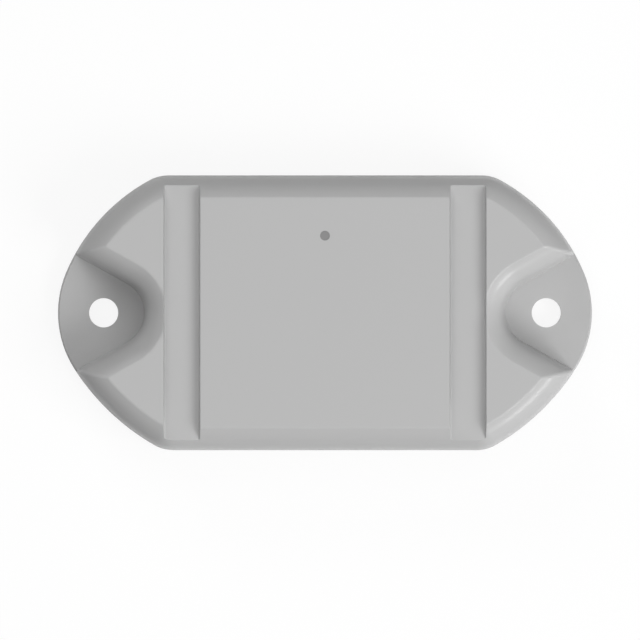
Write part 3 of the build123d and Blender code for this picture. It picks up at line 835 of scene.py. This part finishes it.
class BEACON_OT_circuit_board(bpy.types.Operator):
    """Finish the circuit board, and lay its tracks, its through-platings and its solder"""

    bl_idname = "beacon_tag.circuit_board"
    bl_label = "Circuit Board"

    screw_ring = 2.15
    tracks_under = [
        [(16.3, -1.0), (16.3, -2.0), (16.8, -2.9)], [(18.8, -1.0), (18.8, -2.9)],
        [(15.8, -1.0), (15.2, -1.6), (15.2, -5.4), (16.0, -6.2)],
        [(19.8, -1.0), (20.4, -1.6), (20.4, -5.6), (19.6, -6.4)],
        [(20.3, -0.25), (20.8, -0.25), (21.0, -1.0)], [(20.3, 0.75), (21.0, 0.4)],
        [(20.3, 1.75), (21.0, 1.8)], [(20.3, 2.75), (21.0, 3.2)],
        [(17.8, 4.0), (17.8, 4.9), (18.1, 5.4)], [(19.1, 5.4), (19.4, 6.2)], [(20.5, 6.2), (21.3, 6.2)],
        [(21.8, 6.4), (21.8, 7.4)], [(16.3, 4.0), (16.3, 5.4), (16.5, 6.0)],
        *([(15.3, y), (14.6, y)] for y in (2.75, 1.75, 0.75, -0.25)),
        [(-18.8, 0.5), (-17.9, 1.0)], [(-18.8, 0.0), (-17.4, 0.0)], [(-18.8, -0.5), (-17.9, -1.0)],
        [(-16.3, -8.0), (-15.4, -8.0)], [(-18.8, 3.9), (-18.8, 2.4)],
    ]
    tracks_top = [
        [(14.6, 2.75), (11.4, 5.95), (-12.5, 5.95), (-17.9, 1.0)],
        [(14.6, 1.75), (11.2, 5.15), (-12.0, 5.15), (-17.4, 0.0)],
        [(14.6, 0.75), (11.0, 4.35), (-11.6, 4.35), (-16.9, -1.0), (-17.9, -1.0)],
        [(14.6, -0.25), (12.2, -2.65), (12.2, -5.4), (9.6, -8.0), (-15.4, -8.0)],
        [(0.98, 11.8), (1.92, 11.8)], [(3.3, 11.8), (3.92, 11.8)], [(3.3, 10.6), (3.92, 10.6)],
        [(5.3, 11.8), (8.0, 11.8), (9.4, 10.4), (9.4, 7.2), (8.6, 6.4)], [(5.3, 10.6), (6.6, 10.6)],
        [(-0.98, 11.8), (-5.0, 11.8), (-7.4, 9.4), (-18.8, 9.4), (-20.4, 7.8), (-20.4, 2.4), (-18.8, 2.4)],
    ]
    through_platings = [
        *((14.6, y) for y in (2.75, 1.75, 0.75, -0.25)), (-17.9, 1.0), (-17.4, 0.0), (-17.9, -1.0),
        (-15.4, -8.0), (-18.8, 2.4), (6.6, 10.6), *((22.9, y) for y in (-3.0, -5.0, -9.0, -13.0)),
        (18.0, -12.0), *((x, -16.6) for x in (12.0, 4.0, -4.0, -12.0)),
        *((-22.9, y) for y in (-12.0, -4.0, 4.0, 12.0)), *((x, 16.6) for x in (-10.0, 0.0, 10.0)),
    ]

    def execute(self, context):
        s = context.scene.beacon_board
        finish_node("circuit_board", self.laminate(s))
        tracks = [
            self.track(s, start, end, level, side, 1.0 - 0.12 * (number % 2))
            for level, side, runs in ((BOARD_UNDER, -1, self.tracks_under), (BOARD_TOP, 1, self.tracks_top))
            for run in runs for number, (start, end) in enumerate(zip(run, run[1:]))
        ]
        covered = grained_material("Copper under solder mask", s.covered, 0.25, 0.002 * MM, 0.3, drift=0.1)
        finish_piece(join(tracks, "board_tracks"), covered, "board_laminate")
        tin = solder_material(s)
        finish_piece(self.platings(), tin, "crystal_metal")
        finish_piece(self.joints(), tin, "crystal_metal")
        return {"FINISHED"}

    def laminate(self, s):
        """Green solder mask over woven glass, bare tinned rings round the screws, and a sawn edge."""
        material, tree, shader = plain_material("Circuit board")
        x, y, z = split_axes(tree)
        facing = new_node(tree, "ShaderNodeTexCoord").outputs["Normal"]
        upright = math_node(tree, "ABSOLUTE", split_axes(tree, facing)[2])
        sawn = math_node(tree, "LESS_THAN", upright, 0.5)
        rings = place_group(tree, "Turned Rings", turned_group, Centre=(*BOARD_SCREWS, 0.0))
        bare = math_node(tree, "LESS_THAN", rings.outputs["Radius"], self.screw_ring)
        across, along = (math_node(tree, "SINE", math_node(tree, "MULTIPLY", axis, 11.0)) for axis in (x, y))
        weave = math_node(tree, "MULTIPLY_ADD", math_node(tree, "MULTIPLY", across, along), 0.5, 0.5)
        layers = math_node(tree, "SINE", math_node(tree, "MULTIPLY", z, 36.0))
        layered = math_node(tree, "MULTIPLY_ADD", layers, 0.5, 0.5)
        glass = mix_node(tree, layered, s.glass, times(s.glass, 0.72))
        green = mix_node(tree, weave, s.mask, times(s.mask, 1.18))
        tint = mix_node(tree, sawn, mix_node(tree, bare, green, s.solder), glass)
        mask, grain, toned = grain_and_tone(tree, 0.3, tint, 0.14)
        metal = math_node(tree, "MULTIPLY", bare, math_node(tree, "SUBTRACT", 1.0, sawn))
        rough = mix_node(tree, sawn, math_node(tree, "MULTIPLY_ADD", mask, 0.12, 0.22), 0.75, "FLOAT")
        height = mix_node(tree, sawn, weave, math_node(tree, "ADD", layered, grain), "FLOAT")
        link_finish(tree, shader, toned, rough, height, 0.003 * MM, metal)
        return material

    def track(self, s, start, end, level, side, share_of_size):
        """One straight run of a track, round at both ends, on the upper (1) or lower (-1) face.

        Runs that meet differ a little in size, so that none of their faces coincide.
        """
        wide, high = s.track_width * share_of_size, s.track_height * share_of_size
        step = Vector(end) - Vector(start)
        bpy.ops.mesh.primitive_cylinder_add(vertices=12, radius=wide / 2, depth=2 * high)
        obj = bpy.context.object
        obj.rotation_euler = (0.0, 0.0, math.radians(15.0))
        apply_place(obj)
        edit(obj)
        pick(lambda spot, number: spot.x > 0)
        bpy.ops.transform.translate(value=(step.length * MM, 0.0, 0.0))
        pick(lambda spot, number: spot.z * side > 0)
        bpy.ops.mesh.bevel(offset=0.6 * high, segments=1, affect="EDGES")
        leave_edit()
        obj.rotation_euler = (0.0, 0.0, math.atan2(step.y, step.x))
        obj.location = (start[0] * MM, start[1] * MM, level * MM)
        apply_place(obj)
        return obj

    def platings(self):
        """The tinned rings round the small holes that join both faces."""
        made = []
        for level, rise in ((BOARD_TOP, 0.025), (BOARD_UNDER, -0.025)):
            levels = [(level, 0.32), (level + rise, 0.28), (level + rise, 0.14), (level + 0.2 * rise, 0.11)]
            made += copy_all(lathe("plating", levels, 16), self.through_platings)
        return join(made, "board_through_platings")

    def joints(self):
        """The small fillets of solder at the ends of the parts.

        Each place is a part's centre, how far its ends are from there, and its turn.
        """
        x, y = MAIN_CRYSTAL
        below = [(*place, 0.5, 0) for place in CAPACITORS + MATCHING_PARTS]
        below += [(x, y + side, 1.0, 0) for side in (-0.4, 0.4)]
        below += [(*SLOW_CRYSTAL, 1.6, 0), (*ANTENNA, 1.6, 90)]
        above = [(*place, 0.5, 0) for place in RESISTORS] + [(*STATUS_LED, 0.8, 0)]
        made = []
        for level, side, places in ((BOARD_UNDER, -1, below), (BOARD_TOP, 1, above)):
            middle = (0.07, 0.0, level + side * 0.12)
            fillet = block("fillet", (0.26, 0.46, 0.24), middle, bevel_mm=0.04, taper=(0.35, 0.8), side=side)
            smooth(fillet, 60.0)
            spots = []
            for x, y, reach, turn in places:
                for end_turn in (turn, turn + 180):
                    angle = math.radians(end_turn)
                    spots.append((x + reach * math.cos(angle), y + reach * math.sin(angle), end_turn))
            made += copy_all(fillet, spots)
        return join(made, "solder_joints")


class BEACON_OT_chips(bpy.types.Operator):
    """Finish the two moulded chips and add their tinned pads"""

    bl_idname = "beacon_tag.chips"
    bl_label = "Chips"

    def execute(self, context):
        s = context.scene.beacon_parts
        epoxy = grained_material("Chip epoxy", s.epoxy, 0.07, 0.003 * MM, 0.5, drift=0.2, specular=0.45)
        tin = solder_material(context.scene.beacon_board)
        for node, place, half, count in (
            ("radio_chip", RADIO_CHIP, 2.5, 8), ("accelerometer", ACCELEROMETER, 1.0, 3),
        ):
            finish_node(node, epoxy)
            finish_piece(self.pads(node, place, half, count), tin, "crystal_metal")
        return {"FINISHED"}

    def pads(self, node, place, half, count):
        """The pads along the four sides of a chip, against the board."""
        pad = block("pad", (0.3, 0.26, 0.16), (half - 0.125, 0.0, 11.5), bevel_mm=0.03)
        row = [(0.0, 0.5 * (number - (count - 1) / 2)) for number in range(count)]
        side = join(copy_all(pad, row), "pad row")
        return join(copy_all(side, [(*place, turn) for turn in (0, 90, 180, 270)]), f"{node}_pads")


class BEACON_OT_small_parts(bpy.types.Operator):
    """Finish the crystals, the antenna, the capacitors, the resistors and the light"""

    bl_idname = "beacon_tag.small_parts"
    bl_label = "Small Parts"

    small_body, antenna_body = (0.25, 0.4, 0.4), (1.0, 1.35, 0.8)
    film_level, lid_level, lens_level = 13.2, 11.42, 13.12
    positive_band = (8.9, 9.6)
    lens_half_width, led_ends_from = 0.401, 0.62
    silver = (0.52, 0.53, 0.53)

    def execute(self, context):
        s = context.scene.beacon_parts
        board = context.scene.beacon_board
        small, long = self.small_body, self.antenna_body
        for node, body, places, level, half, grain_mm, roughness in (
            ("decoupling_capacitors", s.tan_ceramic, CAPACITORS, 11.35, small, 0.08, 0.45),
            ("antenna_matching_parts", s.tan_ceramic, MATCHING_PARTS, 11.35, small, 0.08, 0.45),
            ("resistors", lambda tree: self.coated(tree, s), RESISTORS, 13.05, small, 0.08, 0.3),
            ("chip_antenna", lambda tree: self.winding(tree, s), [ANTENNA], 11.0, long, 0.1, 0.35),
        ):
            boxes = [((*place, level), half) for place in places]
            name = node.replace("_", " ").capitalize()
            finish_node(node, ended_material(name, body, board.solder, boxes, grain_mm, roughness))
        finish_node("main_crystal", self.crystal("Main crystal", s, (14.0, 0.6, 14.0)))
        finish_node("slow_crystal", self.crystal("Slow crystal", s, (0.6, 14.0, 14.0)))
        finish_node("storage_capacitor", self.storage(s))
        finish_piece(self.tabs(), solder_material(board), "crystal_metal")
        finish_node("status_led", self.light(s))
        return {"FINISHED"}

    def coated(self, tree, s):
        """Pale ceramic under the dark film that coats a resistor's upper face."""
        film = math_node(tree, "GREATER_THAN", split_axes(tree)[2], self.film_level)
        return mix_node(tree, film, s.pale_ceramic, s.film)

    def winding(self, tree, s):
        """The printed silver bars of the antenna's winding."""
        x, y, _ = split_axes(tree)
        slanted = math_node(tree, "MULTIPLY_ADD", x, 0.12, y)
        phase = math_node(tree, "FRACT", math_node(tree, "MULTIPLY", slanted, 2.4))
        return mix_node(tree, math_node(tree, "LESS_THAN", phase, 0.32), s.pale_ceramic, self.silver)

    def crystal(self, name, s, stretch):
        """A brushed metal lid brazed on a pale ceramic base."""
        material, tree, shader = plain_material(name)
        marks = place_group(tree, "Brushed Marks", brushed_group, Stretch=stretch).outputs["Height"]
        base = math_node(tree, "GREATER_THAN", split_axes(tree)[2], self.lid_level)
        _, grain, toned = grain_and_tone(tree, 0.2, mix_node(tree, base, s.lid, s.pale_ceramic), 0.1)
        rough = mix_node(tree, base, spread_value(tree, marks, 0.2, 0.4), 0.55, "FLOAT")
        relief = mix_node(tree, base, marks, grain, "FLOAT")
        metal = math_node(tree, "SUBTRACT", 1.0, base)
        link_finish(tree, shader, toned, rough, relief, 0.002 * MM, metal)
        return material

    def storage(self, s):
        """Ochre moulding with the darker band of its positive end."""
        material, tree, shader = plain_material("Storage capacitor")
        band = between(tree, split_axes(tree)[1], *self.positive_band)
        tint = mix_node(tree, band, s.ochre, times(s.ochre, 0.35))
        mask, grain, toned = grain_and_tone(tree, 0.09, tint, 0.14)
        link_finish(tree, shader, toned, spread_value(tree, mask, 0.4, 0.56), grain, 0.004 * MM)
        return material

    def tabs(self):
        """The bent tinned tabs at both ends of the storage capacitor."""
        made = [block("tab", (2.2, 0.24, 1.1), (-18.8, y, 11.04), bevel_mm=0.05) for y in (4.0, 10.0)]
        tabs = join(made, "storage_capacitor_tabs")
        smooth(tabs, 60.0)
        return tabs

    def light(self, s):
        """A clear lens over a white base, with tinned ends."""
        material, tree, shader = plain_material("Status light")
        x, _, z = split_axes(tree)
        across = math_node(tree, "ABSOLUTE", x)
        lens = math_node(tree, "LESS_THAN", across, self.lens_half_width)
        ends = math_node(tree, "GREATER_THAN", across, self.led_ends_from)
        core = math_node(tree, "MULTIPLY", lens, math_node(tree, "GREATER_THAN", z, self.lens_level))
        base = mix_node(tree, ends, (0.82, 0.82, 0.80), (0.74, 0.73, 0.70))
        mask, grain, toned = grain_and_tone(tree, 0.08, mix_node(tree, core, base, s.lens), 0.08)
        rough = mix_node(tree, core, spread_value(tree, mask, 0.35, 0.5), 0.08, "FLOAT")
        link_finish(tree, shader, toned, rough, grain, 0.001 * MM, ends)
        return material


class BEACON_OT_service_button(bpy.types.Operator):
    """Finish the service button: its body, its snap dome and the stem that is pressed"""

    bl_idname = "beacon_tag.service_button"
    bl_label = "Service Button"

    def execute(self, context):
        s = context.scene.beacon_button
        body = grained_material("Button body", s.body, 0.1, 0.003 * MM, 0.5, drift=0.2, specular=0.4)
        finish_node("service_button_body", body)
        stem = grained_material("Button stem", s.stem, 0.1, 0.002 * MM, 0.42, drift=0.06, specular=0.4)
        finish_node("service_button_plunger", stem)
        finish_node("service_button_dome", self.dome(s))
        finish_piece(self.feet(), solder_material(context.scene.beacon_board), "crystal_metal")
        return {"FINISHED"}

    def feet(self):
        """The four tinned feet by which the button is soldered to the board."""
        foot = block("foot", (0.7, 0.8, 0.2), (2.3, 1.45, 11.49), bevel_mm=0.05)
        side = join(copy_all(foot, [(0.0, 0.0), (0.0, -2.9)]), "foot pair")
        feet = join(copy_all(side, [(*BUTTON, turn) for turn in (0, 180)]), "service_button_feet")
        smooth(feet, 60.0)
        return feet

    def dome(self, s):
        """Polished spring steel with the faint rings of its forming."""
        material, tree, shader = plain_material("Snap dome", Metallic=1.0)
        centre = (abs(BUTTON[0]), abs(BUTTON[1]), 0.0)
        rings = place_group(tree, "Turned Rings", turned_group, Centre=centre, Ring_Width_mm=0.05)
        mask, _, toned = grain_and_tone(tree, 0.3, s.dome, 0.1)
        rough = spread_value(tree, mask, 0.12, 0.24)
        link_finish(tree, shader, toned, rough, rings.outputs["Height"], 0.001 * MM)
        return material


def toward(azimuth, elevation, distance):
    """A point seen from the tag at an azimuth counted from +X and an elevation, both in degrees."""
    turn, rise = math.radians(azimuth), math.radians(elevation)
    flat = math.cos(rise)
    return distance * Vector((math.cos(turn) * flat, math.sin(turn) * flat, math.sin(rise)))


def add_lamp(name, azimuth, elevation, wide, high, power):
    """A rectangular soft lamp that faces the tag from a metre away."""
    bpy.ops.object.light_add(type="AREA", location=toward(azimuth, elevation, 1.0))
    lamp = bpy.context.object
    lamp.name = name
    lamp.data.shape = "RECTANGLE"
    lamp.data.size = wide
    lamp.data.size_y = high
    lamp.data.energy = power
    lamp.rotation_euler = (-lamp.location).to_track_quat("-Z", "Y").to_euler()
    lamp.visible_camera = False


class BEACON_OT_studio(bpy.types.Operator):
    """Set up the camera, the floor and the soft lamps"""

    bl_idname = "beacon_tag.studio"
    bl_label = "Studio"

    white = (1.0, 1.0, 1.0, 1.0)

    def execute(self, context):
        s = context.scene.beacon_studio
        context.scene.view_settings.view_transform = "Standard"
        self.add_floor(s)
        self.add_world(context.scene, s)
        for name, azimuth, elevation, wide, high, power in (
            ("Key lamp", -34.0, 45.0, 0.6, 0.5, s.key_power),
            ("Low lamp", -38.0, 6.0, 1.0, 0.18, s.low_power),
            ("Streak lamp", -42.0, 4.5, 0.45, 0.14, s.streak_power),
            ("Top lamp", 0.0, 90.0, 1.2, 1.2, s.top_power),
            ("Rear lamp", 120.0, 38.0, 0.6, 0.4, s.rear_power),
            ("Left lamp", 170.0, 10.0, 0.5, 0.25, s.left_power),
            ("Rim lamp", 124.0, 18.0, 0.2, 0.35, s.rim_power),
        ):
            add_lamp(name, azimuth, elevation, wide, high, power)
        self.add_camera(context.scene, s)
        return {"FINISHED"}

    def any_ray(self, tree, *kinds):
        """1 for the rays of these kinds, and 0 for the others."""
        path = tree.nodes.new("ShaderNodeLightPath")
        seen = path.outputs[f"Is {kinds[0]} Ray"]
        for kind in kinds[1:]:
            seen = math_node(tree, "MAXIMUM", seen, path.outputs[f"Is {kind} Ray"])
        return seen

    def add_floor(self, s):
        """A white floor that glows for the camera and still takes the tag's shadow."""
        bpy.ops.mesh.primitive_plane_add(size=8.0, location=(0.0, 0.0, 0.0))
        floor = bpy.context.object
        floor.name = "Studio floor"
        material, tree = empty_material("Pale floor")
        seen = self.any_ray(tree, "Camera", "Glossy", "Transmission")
        tint = mix_node(tree, seen, s.floor, self.white)
        matt = new_node(tree, "ShaderNodeBsdfDiffuse", {"Color": tint})
        glow = new_node(tree, "ShaderNodeEmission", {"Color": self.white, "Strength": 1.0})
        clear = math_node(tree, "MULTIPLY", self.any_ray(tree, "Camera", "Transmission"), s.floor_glow)
        blend = {0: clear, 1: matt.outputs["BSDF"], 2: glow.outputs["Emission"]}
        surface = new_node(tree, "ShaderNodeMixShader", blend).outputs["Shader"]
        new_node(tree, "ShaderNodeOutputMaterial", {"Surface": surface})
        floor.data.materials.append(material)

    def add_world(self, scene, s):
        """A white background that lights nothing unless the ambient light is raised."""
        world = bpy.data.worlds.new("Studio world")
        world.use_nodes = True
        tree = world.node_tree
        tree.nodes.clear()
        seen = self.any_ray(tree, "Camera", "Glossy", "Transmission")
        glow = {"Color": self.white, "Strength": spread_value(tree, seen, s.ambient, 1.0)}
        background = new_node(tree, "ShaderNodeBackground", glow).outputs["Background"]
        new_node(tree, "ShaderNodeOutputWorld", {"Surface": background})
        scene.world = world

    def add_camera(self, scene, s):
        """A long lens that looks straight down, as in the photo."""
        bpy.ops.object.camera_add()
        camera = bpy.context.object
        camera.name = "Studio camera"
        camera.data.sensor_width = 36.0
        camera.data.lens = s.lens
        reach = s.view_span * s.lens / camera.data.sensor_width
        middle = (cad_box[0].z + cad_box[1].z) / 2
        camera.location = (s.view_x, s.view_y, middle + reach)
        camera.rotation_euler = (0.0, 0.0, 0.0)
        scene.camera = camera


PIECES = [
    BEACON_OT_housing, BEACON_OT_light_pipe, BEACON_OT_seals, BEACON_OT_cover_screws, BEACON_OT_board_screws,
    BEACON_OT_battery, BEACON_OT_circuit_board, BEACON_OT_chips, BEACON_OT_small_parts,
    BEACON_OT_service_button, BEACON_OT_studio,
]
SETTINGS = {
    "beacon_housing": HousingSettings,
    "beacon_light_pipe": LightPipeSettings,
    "beacon_seals": SealSettings,
    "beacon_screws": ScrewSettings,
    "beacon_battery": BatterySettings,
    "beacon_board": BoardSettings,
    "beacon_parts": PartsSettings,
    "beacon_button": ButtonSettings,
    "beacon_studio": StudioSettings,
}


class BEACON_PT_panel(bpy.types.Panel):
    """The settings and the pieces, in the order they are made"""

    bl_idname = "BEACON_PT_panel"
    bl_label = "Beacon Tag"
    bl_space_type = "VIEW_3D"
    bl_region_type = "UI"
    bl_category = "Beacon Tag"

    def draw(self, context):
        for name, settings in SETTINGS.items():
            box = self.layout.box()
            for setting in settings.__annotations__:
                box.prop(getattr(context.scene, name), setting)
        for piece in PIECES:
            self.layout.operator(piece.bl_idname)


def register():
    for settings in SETTINGS.values():
        bpy.utils.register_class(settings)
    for piece in PIECES + [BEACON_PT_panel]:
        bpy.utils.register_class(piece)
    for name, settings in SETTINGS.items():
        setattr(bpy.types.Scene, name, PointerProperty(type=settings))


def unregister():
    for name in SETTINGS:
        delattr(bpy.types.Scene, name)
    for piece in [BEACON_PT_panel] + PIECES[::-1]:
        bpy.utils.unregister_class(piece)
    for settings in reversed(list(SETTINGS.values())):
        bpy.utils.unregister_class(settings)


def main():
    """Makes the whole scene, piece by piece."""
    register()
    bpy.ops.object.select_all(action="DESELECT")
    for piece in PIECES:
        group, name = piece.bl_idname.split(".")
        getattr(getattr(bpy.ops, group), name)()


if __name__ == "__main__":
    main()
